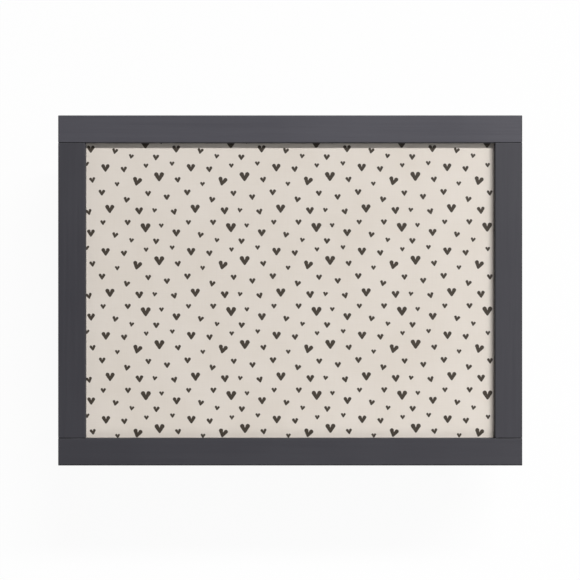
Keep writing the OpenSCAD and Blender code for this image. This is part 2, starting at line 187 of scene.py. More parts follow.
print("world set")

# %% [markdown]
# The rear rail throws a short, crisp shadow on the panel, and the right stile a soft one that fades
# over six millimetres. One long, low strip does both, when it lies parallel to the rear rail and
# reaches out to the right, as a window behind the desk would. A box at the right makes the paint
# paler on that side, a nearer one in front lifts the front of the panel, and a low one lights the
# left side. Each lamp's power follows from its share of the light on a level sheet of white paper:
# the shares and the world's add up to about 1, so a colour renders as it is written.

# %% Soft boxes
def add_soft_box(name, place, width, height, share, along_rail=False):
    """An area lamp at a place measured from the middle of the lid's face, turned to the desk."""
    light = bpy.data.lights.new(name, "AREA")
    light.shape = "RECTANGLE"
    light.size, light.size_y = width, height
    place = Vector(place)
    away = Vector((0, place.y, place.z)) if along_rail else place.copy()
    slant = away.normalized().dot(place.normalized()) * place.normalized().z
    light.energy = share * (math.pi * place.length) ** 2 / slant
    lamp = bpy.data.objects.new(name, light)
    bpy.context.scene.collection.objects.link(lamp)
    lamp.location = place + Vector((0, 0, lid_top))
    lamp.rotation_euler = away.to_track_quat("Z", "Y").to_euler()
    print(f"{name}: {light.energy:.0f} W")


add_soft_box("window_box", (4.0, 6.0, 6.0), 6.9, 0.85, 0.70, along_rail=True)
add_soft_box("right_box", (1.15, 0.15, 0.8), 0.9, 0.6, 0.135)
add_soft_box("front_box", (0.12, -0.75, 0.5), 0.9, 0.3, 0.09)
add_soft_box("left_box", (-2.2, 0.6, 0.66), 1.0, 0.5, 0.015)

# %% [markdown]
# ## Building finishes
# Every finish is a material made of nodes. This small class keeps one material's nodes together,
# so that a finish reads as a short recipe. Patterns are in millimetres, measured from the piece's
# own origin, which is the desk's.

# %% The recipe helper
class Finish:
    def __init__(self, name, base, rough, **settings):
        self.material = bpy.data.materials.new(name)
        self.material.use_nodes = True
        self.tree = self.material.node_tree
        self.shader = self.tree.nodes["Principled BSDF"]
        self.shader.inputs["Base Color"].default_value = (*base, 1)
        self.shader.inputs["Roughness"].default_value = rough
        for setting, value in settings.items():
            self.shader.inputs[setting.replace("_", " ")].default_value = value
        place = self.tree.nodes.new("ShaderNodeTexCoord").outputs["Object"]
        self.spot = self.vector("SCALE", place, scale=1000)

    def add(self, kind, sockets, **settings):
        node = self.tree.nodes.new(kind)
        for name, value in settings.items():
            setattr(node, name, value)
        for key, value in sockets.items():
            if isinstance(value, bpy.types.NodeSocket):
                self.tree.links.new(value, node.inputs[key])
            else:
                node.inputs[key].default_value = value
        return node

    def vector(self, operation, *values, scale=None):
        sockets = dict(enumerate(values))
        if scale is not None:
            sockets["Scale"] = scale
        node = self.add("ShaderNodeVectorMath", sockets, operation=operation)
        return node.outputs["Value" if operation in ("DOT_PRODUCT", "DISTANCE", "LENGTH") else "Vector"]

    def number(self, operation, *values, clamp=False):
        sockets = dict(enumerate(values))
        return self.add("ShaderNodeMath", sockets, operation=operation, use_clamp=clamp).outputs[0]

    def stretch(self, factors):
        """The spot again, with each direction multiplied."""
        return self.vector("MULTIPLY", self.spot, factors)

    def cloud(self, spot, per_mm, detail=2.0, roughness=0.5, shift=0.0):
        """Noise from 0 to 1 with about per_mm blobs in each millimetre."""
        moved = self.vector("ADD", spot, (shift, shift, shift)) if shift else spot
        return self.add("ShaderNodeTexNoise", {"Vector": moved, "Scale": per_mm, "Detail": detail,
                                               "Roughness": roughness}).outputs[0]

    def ramp(self, value, low, high, to_low=0.0, to_high=1.0, smooth=False):
        return self.add("ShaderNodeMapRange",
                        {"Value": value, "From Min": low, "From Max": high,
                         "To Min": to_low, "To Max": to_high},
                        interpolation_type="SMOOTHSTEP" if smooth else "LINEAR").outputs[0]

    def mix(self, share, first, second, blend="MIX"):
        first, second = (c if isinstance(c, bpy.types.NodeSocket) else (*c, 1) for c in (first, second))
        return self.add("ShaderNodeMix", {0: share, 6: first, 7: second},
                        data_type="RGBA", blend_type=blend).outputs[2]

    def facing(self):
        """How squarely the face looks along X, Y and Z of the piece, from 0 to 1 each."""
        normal = self.add("ShaderNodeNewGeometry", {}).outputs["True Normal"]
        own = self.add("ShaderNodeVectorTransform", {0: normal}, vector_type="NORMAL", convert_from="WORLD",
                       convert_to="OBJECT").outputs[0]
        return self.add("ShaderNodeSeparateXYZ", {0: self.vector("ABSOLUTE", own)}).outputs

    def colour(self, socket):
        self.tree.links.new(socket, self.shader.inputs["Base Color"])

    def roughness(self, socket):
        self.tree.links.new(socket, self.shader.inputs["Roughness"])

    def relief(self, height, depth_mm, under=None):
        """A bump whose full height is depth_mm, over an earlier one if there is one."""
        sockets = {"Height": height, "Distance": depth_mm / 1000, "Strength": 1.0}
        if under is not None:
            sockets["Normal"] = under
        return self.add("ShaderNodeBump", sockets).outputs[0]

    def normal(self, socket):
        self.tree.links.new(socket, self.shader.inputs["Normal"])


def dress(finish, *names):
    """Give CAD nodes a finish."""
    for name in names:
        mesh = nodes[name].data
        mesh.materials.clear()
        mesh.materials.append(finish.material)
    print(finish.material.name, "on", ", ".join(names))


# %% [markdown]
# ## Charcoal paint
# The frame and the box are hardwood under a satin charcoal paint, rolled on and laid off along
# each member. So the finish has faint streaks along the piece, a slow change of tone, and a fine
# skin. The arrises are sanded round, and shade is painted on them as a darker colour; the same
# places are made rougher. Their faces lean between two axes, so the largest part of the normal tells
# a flat from an arris. The normal is taken in the piece's own directions, so that it stays right when
# the lid is lifted. A band of painted shade also runs along the outer edges of the face, darkest
# along the front, fainter along the sides, and none along the rear.

# %% Paint, laid off along X or Y
def charcoal_paint(name, along, painted_light_gain=1.0):
    paint = Finish(name, (0.041, 0.040, 0.047), 0.54, Specular_IOR_Level=0.4)
    across = (0.006, 0.25, 0.25) if along == "x" else (0.25, 0.006, 0.25)
    streaks = paint.cloud(paint.stretch(across), 1.0, detail=4, roughness=0.6)
    patches = paint.cloud(paint.spot, 0.012, detail=2, shift=70)
    tone = paint.number("MULTIPLY_ADD", streaks, 0.45, paint.number("MULTIPLY", patches, 0.55))
    # painted_light_gain lifts both shades of the paint, which paints extra light onto a member.
    thin, thick = (tuple(painted_light_gain * c for c in shade)
                   for shade in ((0.0325, 0.0315, 0.039), (0.039, 0.038, 0.046)))
    painted = paint.mix(paint.ramp(tone, 0.36, 0.64), thin, thick)

    facing = paint.facing()
    flatness = paint.number("MAXIMUM", facing[0], paint.number("MAXIMUM", facing[1], facing[2]))
    # Painted shade on the arrises: where a face leans between two axes, patchy noise mixes the paint darker.
    patchy = paint.ramp(paint.cloud(paint.spot, 0.08, detail=3), 0.3, 0.6, 0.5, 1.0)
    painted_edge_shade = paint.number("MULTIPLY", paint.ramp(flatness, 0.99, 0.85), patchy)
    place = paint.add("ShaderNodeSeparateXYZ", {0: paint.spot}).outputs
    # Painted shade in a band along the outer edges of the lid's face: strong at the front, fainter at the
    # sides.
    front_rim_shade = paint.ramp(place[1], -164.5, -164.9, 0, 0.9)
    side_rim_shade = paint.ramp(paint.number("ABSOLUTE", place[0]), 218.6, 219.0, 0, 0.4)
    painted_rim_shade = paint.number("MULTIPLY", paint.number("MAXIMUM", front_rim_shade, side_rim_shade),
                         paint.ramp(facing[2], 0.6, 0.9))
    painted_edge_shade = paint.number("MAXIMUM", painted_edge_shade, painted_rim_shade)
    # The painted shade takes the paint towards near-black; the same mask also makes it rougher below.
    paint.colour(paint.mix(painted_edge_shade, painted, (0.009, 0.009, 0.011)))

    brushed = paint.cloud(paint.stretch(tuple(1.8 * k for k in across)), 1.0, detail=3, shift=44)
    skin = paint.cloud(paint.spot, 1.4, detail=2, shift=20)
    gloss = paint.ramp(paint.number("ADD", skin, brushed), 0.7, 1.3, 0.48, 0.60)
    paint.roughness(paint.number("MULTIPLY_ADD", painted_edge_shade, 0.25, gloss))
    bump = paint.relief(brushed, 0.07)
    paint.normal(paint.relief(skin, 0.015, under=bump))
    return paint


paint_along_x = charcoal_paint("charcoal_paint_x", "x")
paint_along_y = charcoal_paint("charcoal_paint_y", "y")
# The rear rail gets a paler copy of the paint: painted light, for the extra light and sheen that the rear
# lamp gives the rail nearest it.
dress(charcoal_paint("charcoal_paint_rear_painted_light", "x", painted_light_gain=1.65), "rear_rail")
dress(paint_along_x, "front_rail", "rear_bead", "front_bead", "box_front", "box_back", "pen_divider")
dress(paint_along_y, "left_stile", "right_stile", "left_bead", "right_bead", "box_left_side",
      "box_right_side", "clip_divider")

# %% [markdown]
# ## The cloth over the panel
# Cream cotton is glued over a board and round its edges, and the frame's lip holds it down, so
# near the lip it dips by half a millimetre at most. A grid gives the face enough points for that,
# and the rim is pulled down from its border, with the border bevelled into a soft bend. The felt
# and the tape pads, further down, are made in the same way.

# %% A grid with a soft rim
def rimmed_grid(x_cells, y_cells, size, bend, segments):
    """A flat grid at the origin, with a wall pulled down round it and a bevelled border."""
    shape = bmesh.new()
    bmesh.ops.create_grid(shape, x_segments=x_cells, y_segments=y_cells, size=0.5)
    bmesh.ops.scale(shape, verts=shape.verts, vec=(size.x, size.y, 1))
    border = [e for e in shape.edges if e.is_boundary]
    rim = bmesh.ops.extrude_edge_only(shape, edges=border)["geom"]
    rim_points = [v for v in rim if isinstance(v, bmesh.types.BMVert)]
    bmesh.ops.translate(shape, verts=rim_points, vec=(0, 0, -size.z))
    bmesh.ops.bevel(shape, geom=border, offset=bend, offset_type="OFFSET", segments=segments, profile=0.5,
                    affect="EDGES", material=-1)
    return shape


def slab(low, high, x_cells, y_cells, bend, nap, grain):
    """A thin piece that fills a box: closed below, with a face that noise lowers by up to twice nap."""
    trim = Vector((0.0004, 0.0004, 0))
    shape = rimmed_grid(x_cells, y_cells, high - low - trim, bend, 2)
    bmesh.ops.holes_fill(shape, edges=[e for e in shape.edges if e.is_boundary], sides=0)
    bmesh.ops.translate(shape, verts=shape.verts, vec=((low.x + high.x) / 2, (low.y + high.y) / 2, high.z))
    for v in shape.verts:
        if v.co.z > high.z - 0.0002:
            v.co.z -= nap * (1 + noise.noise(v.co * grain))
    return shape


def finished(shape, name, smooth=True):
    """Turn a bmesh into a mesh with its normals outwards."""
    bmesh.ops.recalc_face_normals(shape, faces=shape.faces)
    mesh = bpy.data.meshes.new(name)
    shape.to_mesh(mesh)
    shape.free()
    for face in mesh.polygons:
        face.use_smooth = smooth
    return mesh


# %% Cloth piece
cover_low, cover_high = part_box("panel_cover")
sight_half_x, sight_half_y = 0.194, 0.140
dips = {"rear": (0.25, 6), "front": (0.35, 15), "left": (0.2, 9), "right": (0.5, 6)}


def dip_near_lip(x, y):
    """How far the cloth lies below the plane of its face, in metres."""
    gaps = {"rear": sight_half_y - y, "front": y + sight_half_y,
            "left": x + sight_half_x, "right": sight_half_x - x}
    total = 0.0
    for side, (depth, reach) in dips.items():
        closeness = min(1.0, max(0.0, 1 - gaps[side] * 1000 / reach))
        total = max(total, depth * closeness ** 2 * 0.001) if closeness else total
    return total


def stretched_cover():
    shape = rimmed_grid(170, 124, cover_high - cover_low, 0.0012, 3)
    bmesh.ops.translate(shape, verts=shape.verts, vec=(0, 0, cover_high.z))
    for v in shape.verts:
        if v.co.z > cover_high.z - 0.002:
            slack = 0.00008 * noise.noise(Vector((v.co.x * 22, v.co.y * 22, 3.1)))
            v.co.z -= dip_near_lip(v.co.x, v.co.y) + 0.0001 + slack
    return finished(shape, "printed_cover")


def place_piece(mesh, name, body, slot, *replaced):
    """Make a mesh a piece of the desk that rides on a body and stands for CAD nodes."""
    piece = bpy.data.objects.new(name, mesh)
    bpy.context.scene.collection.objects.link(piece)
    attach(piece, body)
    if replaced:
        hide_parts(*replaced)
    print(f"{name}: {len(mesh.polygons)} faces on {body}")
    return piece


cover = place_piece(stretched_cover(), "printed_cover", "lid", "printed_cloth", "panel_cover")
cover_wall = cover.modifiers.new("cloth_thickness", "SOLIDIFY")
cover_wall.thickness = 0.0002
cover_wall.offset = -1

# %% [markdown]
# ## The scattered hearts
# The print is a small repeat of little brush hearts. Each is two strokes that meet in a point, so
# one stroke, mirrored, makes a heart: the distance from a line that grows thicker towards its
# upper end. The list gives every heart's middle in the repeat, its width, and its turn. Wrapping
# the spot around each middle repeats the print over the panel. The cloth was glued a tenth of a
# degree askew, which is just enough to see along the frame.

# %% Print repeat
repeat = (81.3, 79.9, 1000.0)
askew = math.radians(0.11)
hearts = [
    (-36, 9, 5.4, 2), (-31, -39, 4.2, 0), (-29, -5, 5.5, 14), (-27, -25, 7.0, 0), (-25.5, 25.5, 5.3, 8),
    (-16.5, 13.5, 5.8, 0), (-15.5, -15, 4.6, 0), (-13, 37, 7.5, 0), (-9, -2, 8.2, 0), (-4, -27, 5.3, -12),
    (-2, 21.5, 4.1, 0), (4.5, 35.5, 5.5, 4), (7, 6.5, 5.5, -12), (8, -15, 5.3, 0), (11.5, -32, 4.2, -10),
    (17, 24, 8.2, -14), (19, -4, 6.9, 3), (25, -20, 9.0, 0), (25.5, 39, 4.1, 0), (27.5, 12.5, 5.2, 2),
    (33.5, -3.5, 4.1, -8), (35, -33, 5.5, -3), (38, 28.5, 9.0, 0), (40, -18, 4.1, 0),
]


def stroke_gap(finish, spot, middle_x, middle_y, width, turn):
    """Distance in millimetres from the strokes of one heart, below zero in the ink."""
    foot = Vector((0.0, -0.34 * width, 0.0))
    top = Vector((0.295 * width, 0.25 * width, 0.0))
    foot_r, top_r = 0.12 * width + 0.15, 0.21 * width + 0.2
    run = top - foot
    away = finish.vector("SUBTRACT", spot, (middle_x, middle_y, 0.0))
    half = tuple(side / 2 for side in repeat)
    near = finish.vector("WRAP", away, half, tuple(-side for side in half))
    turned = finish.add("ShaderNodeVectorRotate", {"Vector": near, "Angle": math.radians(-turn)},
                        rotation_type="Z_AXIS").outputs[0]
    parts = finish.add("ShaderNodeSeparateXYZ", {0: turned})
    folded = finish.add("ShaderNodeCombineXYZ", {0: finish.number("ABSOLUTE", parts.outputs[0]),
                                                 1: parts.outputs[1]}).outputs[0]
    share = finish.vector("DOT_PRODUCT", folded, tuple(run / run.length_squared))
    share = finish.number("SUBTRACT", share, foot.dot(run) / run.length_squared, clamp=True)
    on_line = finish.vector("MULTIPLY_ADD", share, tuple(run), tuple(foot))
    gap = finish.vector("DISTANCE", folded, on_line)
    gap = finish.number("MULTIPLY_ADD", share, foot_r - top_r, gap)
    return finish.number("SUBTRACT", gap, foot_r)


def thread_weave(finish, spot, pitch):
    """The over and under of a plain weave, from 0 to 1, with threads pitch millimetres apart."""
    parts = finish.add("ShaderNodeSeparateXYZ", {0: finish.vector("SCALE", spot, scale=math.pi / pitch)})
    waves = [finish.number("SINE", parts.outputs[k]) for k in (0, 1)]
    return finish.number("MULTIPLY_ADD", finish.number("MULTIPLY", *waves), 0.5, 0.5)


def printed_cotton():
    cotton = Finish("printed_cotton", (0.72, 0.66, 0.61), 0.62, Specular_IOR_Level=0.35, Sheen_Weight=0.05,
                    Sheen_Roughness=0.5)
    wobble = cotton.add("ShaderNodeTexNoise",
                        {"Vector": cotton.spot, "Scale": 0.9, "Detail": 2.0}).outputs["Color"]
    wobble = cotton.vector("SUBTRACT", wobble, (0.5, 0.5, 0.5))
    drawn = cotton.vector("MULTIPLY_ADD", wobble, (0.55, 0.55, 0.0), cotton.spot)
    drawn = cotton.add("ShaderNodeVectorRotate", {"Vector": drawn, "Angle": -askew},
                       rotation_type="Z_AXIS").outputs[0]
    nearest = None
    for heart in hearts:
        gap = stroke_gap(cotton, drawn, *heart)
        nearest = gap if nearest is None else cotton.number("MINIMUM", nearest, gap)

    weave = thread_weave(cotton, cotton.spot, 0.42)
    slubs_x = cotton.cloud(cotton.stretch((0.04, 2.2, 1)), 1.0, detail=2)
    slubs_y = cotton.cloud(cotton.stretch((2.2, 0.04, 1)), 1.0, detail=2, shift=40)
    slubs = cotton.number("MULTIPLY", cotton.number("ADD", slubs_x, slubs_y), 0.5)
    mottle = cotton.cloud(cotton.spot, 0.02, detail=3, shift=15)
    tone = cotton.number("ADD", cotton.number("MULTIPLY", slubs, 0.5), cotton.number("MULTIPLY", mottle, 0.5))
    ground = cotton.mix(cotton.ramp(tone, 0.38, 0.62), (0.69, 0.628, 0.560), (0.73, 0.672, 0.610))

    dry_brush = cotton.cloud(cotton.stretch((1.0, 0.5, 1.0)), 2.6, detail=3, shift=9)
    ink = cotton.mix(cotton.ramp(dry_brush, 0.42, 0.72), (0.027, 0.0195, 0.013), (0.078, 0.060, 0.043))
    edge = cotton.ramp(nearest, 0.22, -0.22, smooth=True)
    cotton.colour(cotton.mix(edge, ground, ink))
    cotton.roughness(cotton.ramp(weave, 0, 1, 0.66, 0.56))
    bump = cotton.relief(slubs, 0.06)
    cotton.normal(cotton.relief(weave, 0.035, under=bump))
    return cotton


cover.data.materials.append(printed_cotton().material)
print(f"{len(hearts)} hearts in a repeat of {repeat[0]} by {repeat[1]} mm")

# %% [markdown]
# ## Plywood and beech
# The boards in the lid and the bottom of the box are sanded birch plywood. Its face is peeled
# from the log, so the figure is wide and wavy, with short darker flecks along the grain. On the
# edges the plies show as bands. The dowels are straight-grained beech.

# %% Bare wood
def birch_plywood():
    birch = Finish("birch_plywood", (0.66, 0.49, 0.29), 0.55, Specular_IOR_Level=0.3)
    warp = birch.cloud(birch.stretch((0.004, 0.02, 1)), 1.0, detail=2)
    rings = birch.vector("MULTIPLY_ADD", warp, (0.0, 40.0, 0.0), birch.stretch((0.02, 1.0, 1.0)))
    figure = birch.cloud(rings, 0.09, detail=4, roughness=0.55)
    fibres = birch.cloud(birch.vector("MULTIPLY", rings, (1.5, 1.3, 1.3)), 1.0, detail=4, roughness=0.6,
                         shift=80)
    pores = birch.cloud(birch.stretch((0.16, 2.6, 2.6)), 1.0, detail=2, shift=30)
    face = birch.mix(birch.ramp(figure, 0.32, 0.68), (0.72, 0.56, 0.37), (0.615, 0.450, 0.268))
    face = birch.mix(birch.ramp(fibres, 0.42, 0.70, 0, 0.45), face, (0.53, 0.37, 0.205))
    face = birch.mix(birch.ramp(pores, 0.62, 0.72, 0, 0.5), face, (0.36, 0.23, 0.12))
    height = birch.add("ShaderNodeSeparateXYZ", {0: birch.spot}).outputs[2]
    plies = birch.number("SINE", birch.number("MULTIPLY", height, math.pi / 1.1))
    edge = birch.mix(birch.ramp(plies, -0.2, 0.2), (0.46, 0.31, 0.17), (0.70, 0.54, 0.34))
    on_face = birch.ramp(birch.facing()[2], 0.4, 0.6)
    birch.colour(birch.mix(on_face, edge, face))
    birch.roughness(birch.ramp(pores, 0.3, 0.8, 0.5, 0.66))
    birch.normal(birch.relief(pores, 0.05))
    return birch


def turned_beech():
    beech = Finish("turned_beech", (0.66, 0.46, 0.25), 0.5, Specular_IOR_Level=0.3)
    fibres = beech.cloud(beech.stretch((2.4, 0.08, 2.4)), 1.0, detail=3)
    beech.colour(beech.mix(beech.ramp(fibres, 0.35, 0.65), (0.70, 0.50, 0.29), (0.55, 0.36, 0.19)))
    beech.normal(beech.relief(fibres, 0.05))
    return beech


dress(birch_plywood(), "panel_board", "lid_lining_board", "box_bottom")
dress(turned_beech(), "frame_dowels", "box_dowels")

# %% [markdown]
# ## Hinges, magnets and buffers
# The leaves and pins are pressed steel under zinc, which has gone cloudy and looks faintly
# brushed. The magnets are plated with nickel and smoother. The buffers are small discs of rubber.

# %% Metal and rubber
def plated_metal(name, base, dark, rough):
    metal = Finish(name, base, rough, Metallic=1.0)
    clouds = metal.cloud(metal.spot, 0.35, detail=4, roughness=0.6)
    brushed = metal.cloud(metal.stretch((0.15, 5.0, 5.0)), 1.0, detail=2, shift=12)
    metal.colour(metal.mix(metal.ramp(clouds, 0.35, 0.7), base, dark))
    metal.roughness(metal.ramp(metal.number("ADD", clouds, brushed), 0.7, 1.3, rough - 0.08, rough + 0.1))
    metal.normal(metal.relief(brushed, 0.01))
    return metal


def buffer_rubber():
    rubber = Finish("buffer_rubber", (0.022, 0.022, 0.022), 0.72, Specular_IOR_Level=0.4)
    bloom = rubber.cloud(rubber.spot, 0.8, detail=3)
    rubber.colour(rubber.mix(rubber.ramp(bloom, 0.35, 0.7), (0.018, 0.018, 0.018), (0.035, 0.035, 0.034)))
    rubber.normal(rubber.relief(rubber.cloud(rubber.spot, 6.0), 0.02))
    return rubber


dress(plated_metal("bright_zinc", (0.40, 0.40, 0.41), (0.27, 0.27, 0.28), 0.50),
      "left_lid_leaf", "right_lid_leaf", "left_box_leaf", "right_box_leaf",
      "left_hinge_pin", "right_hinge_pin", "lid_leaf_screws", "box_leaf_screws")
dress(plated_metal("bright_nickel", (0.58, 0.56, 0.52), (0.47, 0.45, 0.41), 0.24),
      "lid_magnets", "box_magnets")
dress(buffer_rubber(), "lid_buffers")

# %% [markdown]
# ## Felt in the box
# Three pieces of grey wool felt lie on the bottom. Each is cut with a knife and is a little soft
# at its edges, and the nap makes it slightly uneven. So each is a thin grid with a wall all
# round, its upper edge bevelled and its face moved by noise.

# %% Felt pieces
felt_cell = 0.006


def felt_rectangle(low, high, name):
    x_cells, y_cells = (max(2, int(side / felt_cell)) for side in (high - low).xy)
    return finished(slab(low, high, x_cells, y_cells, bend=0.0004, nap=0.00012, grain=60), name)


def wool_felt():
    felt = Finish("wool_felt", (0.26, 0.26, 0.27), 0.95, Specular_IOR_Level=0.2, Sheen_Weight=0.35,
                  Sheen_Roughness=0.6)
    tangle = felt.cloud(felt.spot, 0.9, detail=6, roughness=0.75)
    curl = felt.add("ShaderNodeTexNoise",
                    {"Vector": felt.spot, "Scale": 0.35, "Detail": 3.0}).outputs["Color"]
    curled = felt.vector("MULTIPLY_ADD", curl, (9.0, 9.0, 0.0), felt.spot)
    hairs = [felt.cloud(felt.vector("MULTIPLY", curled, factors), 1.0, detail=1, shift=shift)
             for factors, shift in (((0.25, 2.2, 1.0), 33), ((2.2, 0.25, 1.0), 61))]
    blotches = felt.cloud(felt.spot, 0.06, detail=4, shift=50)
    wool = felt.mix(felt.ramp(tangle, 0.35, 0.65), (0.17, 0.17, 0.18), (0.31, 0.31, 0.32))
    wool = felt.mix(felt.ramp(felt.number("MINIMUM", *hairs), 0.30, 0.40, 0.4, 0), wool, (0.13, 0.13, 0.14))
    wool = felt.mix(felt.ramp(felt.number("MAXIMUM", *hairs), 0.60, 0.72, 0, 0.6), wool, (0.43, 0.43, 0.44))
    felt.colour(felt.mix(felt.ramp(blotches, 0.35, 0.65, 0, 0.35), wool, (0.17, 0.17, 0.18)))
    felt.normal(felt.relief(tangle, 0.5))
    return felt


def islands(node):
    """The low and high corners of each separate solid in a CAD node."""
    shape = bmesh.new()
    shape.from_mesh(node.data)
    bmesh.ops.remove_doubles(shape, verts=shape.verts, dist=1e-6)
    waiting, found = set(shape.verts), []
    while waiting:
        group, edge = set(), [waiting.pop()]
        while edge:
            v = edge.pop()
            group.add(v)
            for e in v.link_edges:
                other = e.other_vert(v)
                if other in waiting:
                    waiting.remove(other)
                    edge.append(other)
        corners = [Vector([pick(v.co[k] for v in group) for k in range(3)]) for pick in (min, max)]
        found.append(corners)
    shape.free()
    return sorted(found, key=lambda pair: tuple(pair[0]))


felt_finish = wool_felt()
felt_boxes = islands(nodes["felt_linings"])
felt_boxes.sort(key=lambda pair: (pair[0].y > 0, pair[0].x))
for name, (low, high) in zip(["felt_paper", "felt_pens", "felt_clips"], felt_boxes):
    piece = place_piece(felt_rectangle(low, high, name), name, "base", "grey_felt", "felt_linings")
    piece.data.materials.append(felt_finish.material)

# %% [markdown]
# ## The cushion
# A cotton cover filled with loose beads. Its seam runs round at mid height and has piping in it.
# The box presses the top flat and the lap or table flattens the underside, and between them the
# sides swell. Blender's cloth solver does the swelling: the CAD solid, made a little smaller and
# given even facets by a voxel remesh, is blown up with a light pressure and no gravity. The seam
# and the two pressed faces are held still, and a limit on how far each point moves keeps the form.
# Then the free cloth is smoothed, as loose beads fill any sharp fold.

# %% Swelling the cushion
cushion_low, cushion_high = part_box("cushion")
seam_height = 0.024
seam_half_x, seam_half_y = 0.205, 0.151
side_pull = 0.004
corner_power = 8


def baked_mesh(piece):
    """The piece's mesh with its modifiers in it."""
    bpy.context.view_layer.update()
    depsgraph = bpy.context.evaluated_depsgraph_get()
    return bpy.data.meshes.new_from_object(piece.evaluated_get(depsgraph), depsgraph=depsgraph)


def outline_point(turn):
    """A point of the cushion's seam, as the CAD model draws it."""
    reach = (abs(math.cos(turn)) ** corner_power + abs(math.sin(turn)) ** corner_power) ** (-1 / corner_power)
    pull = side_pull * math.cos(2 * turn) ** 2
    return Vector(((seam_half_x - pull) * reach * math.cos(turn),
                   (seam_half_y - pull) * reach * math.sin(turn)))


def seam_beside(place):
    """The seam's point straight outside a place."""
    return outline_point(math.atan2(place.y / seam_half_y, place.x / seam_half_x))


def held_still(place):
    """True on the seam, and where the box or the table presses the cloth flat."""
    on_seam = abs(place.z - seam_height) < 0.003 and place.xy.length > 0.96 * seam_beside(place).length
    pressed = 0.0006
    return on_seam or place.z > cushion_high.z - pressed or place.z < cushion_low.z + pressed


def even_facets(facet, shrink):
    """A copy of the CAD cushion, a little smaller, in facets of an even size."""
    shape = bmesh.new()
    shape.from_mesh(nodes["cushion"].data)
    bmesh.ops.remove_doubles(shape, verts=shape.verts, dist=1e-6)
    middle = Matrix.Translation((0, 0, -seam_height))
    bmesh.ops.scale(shape, verts=shape.verts, vec=(1 - shrink / seam_half_x, 1 - shrink / seam_half_y, 1),
                    space=middle)
    mesh = bpy.data.meshes.new("cushion_form")
    shape.to_mesh(mesh)
    shape.free()
    form = bpy.data.objects.new("cushion_form", mesh)
    bpy.context.scene.collection.objects.link(form)
    remesh = form.modifiers.new("even", "REMESH")
    remesh.mode = "VOXEL"
    remesh.voxel_size = facet
    even = baked_mesh(form)
    bpy.data.objects.remove(form)
    bpy.data.meshes.remove(mesh)
    return even


def swollen(mesh, pressure, spare, most, frames=20):
    """Blow the mesh up with cloth pressure, with spare cloth in it, and cap how far a point moves."""
    form = bpy.data.objects.new("cushion_cloth", mesh)
    scene = bpy.context.scene
    scene.collection.objects.link(form)
    start = [v.co.copy() for v in mesh.vertices]
    cloth = form.modifiers.new("filling", "CLOTH")
    cloth.settings.use_pressure = True
    cloth.settings.uniform_pressure_force = pressure
    cloth.settings.effector_weights.gravity = 0
    cloth.settings.shrink_min = -spare
    held = form.vertex_groups.new(name="held")
    held.add([v.index for v in mesh.vertices if held_still(v.co)], 1.0, "REPLACE")
    cloth.settings.vertex_group_mass = "held"
    cloth.point_cache.frame_start, cloth.point_cache.frame_end = 1, frames
    for step in range(1, frames + 1):
        scene.frame_set(step)
    result = baked_mesh(form)
    scene.frame_set(1)
    bpy.data.objects.remove(form)
    for v, from_here in zip(result.vertices, start):
        move = v.co - from_here
        if move.length > most:
            v.co = from_here + move * (most / move.length)
    return result


def relax(mesh, rounds):
    """Smooth the free cloth."""
    shape = bmesh.new()
    shape.from_mesh(mesh)
    free = [v for v in shape.verts if not held_still(v.co)]
    for _ in range(rounds):
        bmesh.ops.smooth_vert(shape, verts=free, factor=0.5, use_axis_x=True, use_axis_y=True,
                              use_axis_z=True)
    shape.to_mesh(mesh)
    shape.free()


cushion_mesh = even_facets(facet=0.005, shrink=0.001)
cushion_mesh = swollen(cushion_mesh, pressure=4.0, spare=0.04, most=0.008)
relax(cushion_mesh, rounds=4)
print(f"cushion: {len(cushion_mesh.polygons)} facets before it is sewn")

# %% [markdown]
# ### Sewing the seam
# The stitches draw the cloth in along the seam and gather it into small puckers, which fade
# within two centimetres. Loose beads leave soft lumps in the sides. These come after the
# solver, because the remesh would lose anything finer than its facets.

# %% Seam, puckers and flat faces
seam_steps = 720
pucker_depth, lump_height, drag_height = 0.0042, 0.0013, 0.0012
seam_lip = 0.0012

seam_turns = [2 * math.pi * k / seam_steps for k in range(seam_steps + 1)]
seam_points = [outline_point(turn) for turn in seam_turns]
seam_lengths = [0.0]
for before, after in zip(seam_points, seam_points[1:]):
    seam_lengths.append(seam_lengths[-1] + (after - before).length)


def along_seam(x, y):
    """Metres along the seam to the place beside a point."""
    turn = math.atan2(y / seam_half_y, x / seam_half_x) % (2 * math.pi)
    step = turn / (2 * math.pi) * seam_steps
    low = min(seam_steps - 1, int(step))
    return seam_lengths[low] + (step - low) * (seam_lengths[low + 1] - seam_lengths[low])


def sew_and_press(mesh):
    """Draw in the seam, gather the puckers, lump the sides and flatten top and underside."""
    top, bottom = cushion_high.z, cushion_low.z
    for v in mesh.vertices:
        seam = seam_beside(v.co)
        reach = v.co.xy.length
        outwards = Vector((v.co.x, v.co.y, 0)).normalized()
        side = min(1.0, max(0.0, (reach / seam.length - 0.62) / 0.3))
        rise = v.co.z - seam_height
        along = along_seam(v.co.x, v.co.y)
        on_seam = side * math.exp(-(rise / 0.005) ** 4)
        near_seam = side * math.exp(-(rise / 0.012) ** 2)
        gather = 0.5 + 0.5 * noise.noise(Vector((along * 68, rise * 12, 2.0)))
        gather *= 0.8 + 0.7 * noise.noise(Vector((along * 24, 0.0, 8.0)))
        lumps = noise.noise(Vector((v.co.x * 26, v.co.y * 26, v.co.z * 40 + 5)))
        drag = noise.noise(Vector((along * 22, rise * 60, 14.0)))
        v.co += outwards * side * (lump_height * lumps + drag_height * drag)
        v.co -= outwards * pucker_depth * gather * near_seam
        v.co += outwards * on_seam * (seam.length + seam_lip - v.co.xy.length)
        v.co.z = min(top - 0.0001, max(bottom, v.co.z))
    return mesh


sewn = sew_and_press(cushion_mesh)
print("seam is", round(seam_lengths[-1], 3), "m round")

